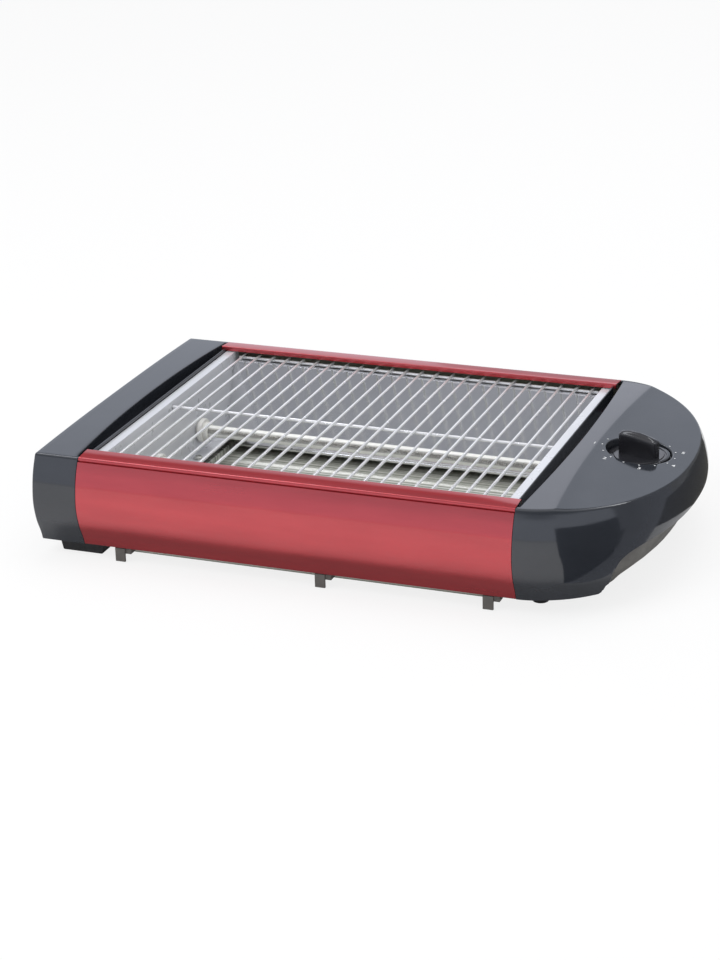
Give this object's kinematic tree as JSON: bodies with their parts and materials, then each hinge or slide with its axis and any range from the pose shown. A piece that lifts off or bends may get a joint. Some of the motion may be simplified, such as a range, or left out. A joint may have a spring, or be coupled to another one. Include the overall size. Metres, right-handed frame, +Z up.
{
  "type": "flat toaster",
  "caption": "Flat tabletop toaster: wire grill over quartz heaters in a steel chamber, red side panels, black end caps, a timer knob and a slide-out crumb tray.",
  "frame": {"origin": "middle of the footprint on the surface that the toaster stands on", "axes": "+X along the toaster towards the rounded end with the timer knob, +Y to the back, +Z up"},
  "size_m": [0.3868, 0.2456, 0.0772],
  "materials": {
    "black_shell": "glossy moulded black plastic",
    "knob_black": "satin black plastic knob",
    "grey_base": "matte dark grey plastic with fine grain",
    "red_panel": "metallic red lacquer on sheet steel",
    "bright_sheet": "bright rolled steel sheet",
    "chromed_wire": "bright chromed wire",
    "white_ceramic": "unglazed white steatite",
    "milky_quartz": "milky quartz glass",
    "resistance_alloy": "oxidised nickel chromium alloy",
    "zinc_screw": "zinc-plated steel",
    "lead_sleeve": "woven glass-fibre sleeve",
    "foot_rubber": "matte black rubber"
  },
  "bodies": {
    "housing": {"base_cover_screw_1": "zinc_screw", "base_cover_screw_2": "zinc_screw", "base_cover_screw_3": "zinc_screw", "base_cover_screw_4": "zinc_screw", "cord_gland": "black_shell", "end_plate_screw_1": "zinc_screw", "end_plate_screw_2": "zinc_screw", "front_heater_lead": "lead_sleeve", "front_heating_coil": "resistance_alloy", "front_left_ceramic_holder": "white_ceramic", "front_left_tube_terminal": "resistance_alloy", "front_panel": "red_panel", "front_quartz_tube": "milky_quartz", "front_reflector": "bright_sheet", "front_right_ceramic_holder": "white_ceramic", "front_right_tube_terminal": "resistance_alloy", "heat_shield": "bright_sheet", "left_base_cover": "grey_base", "left_end_cap": "black_shell", "left_end_plate": "bright_sheet", "left_front_foot": "foot_rubber", "left_link_lead": "lead_sleeve", "left_rear_foot": "foot_rubber", "rail_screw_1": "zinc_screw", "rail_screw_2": "zinc_screw", "rail_screw_3": "zinc_screw", "rail_screw_4": "zinc_screw", "rear_heater_lead": "lead_sleeve", "rear_heating_coil": "resistance_alloy", "rear_left_ceramic_holder": "white_ceramic", "rear_left_tube_terminal": "resistance_alloy", "rear_panel": "red_panel", "rear_quartz_tube": "milky_quartz", "rear_reflector": "bright_sheet", "rear_right_ceramic_holder": "white_ceramic", "rear_right_tube_terminal": "resistance_alloy", "right_base_cover": "grey_base", "right_end_plate": "bright_sheet", "right_front_foot": "foot_rubber", "right_housing": "black_shell", "right_rear_foot": "foot_rubber", "terminal_block": "white_ceramic", "timer_body": "grey_base", "timer_lead": "lead_sleeve", "timer_plate": "bright_sheet", "timer_screw_1": "zinc_screw", "timer_screw_2": "zinc_screw", "tray_rail_left": "bright_sheet", "tray_rail_right": "bright_sheet", "wire_grill": "chromed_wire"},
    "knob": {"timer_knob": "knob_black", "timer_shaft": "bright_sheet"},
    "tray": {"crumb_tray": "bright_sheet", "tray_tab_1": "grey_base", "tray_tab_2": "grey_base", "tray_tab_3": "grey_base"}
  },
  "joints": [
    {"name": "timer_turn", "type": "hinge", "parent": "housing", "child": "knob", "pos_m": [0.1561, 0, 0.06], "axis": [0, 0, -1], "range_deg": [0, 300]},
    {"name": "tray_slide", "type": "slide", "parent": "housing", "child": "tray", "axis": [0, -1, 0], "range_m": [0, 0.2]}
  ]
}
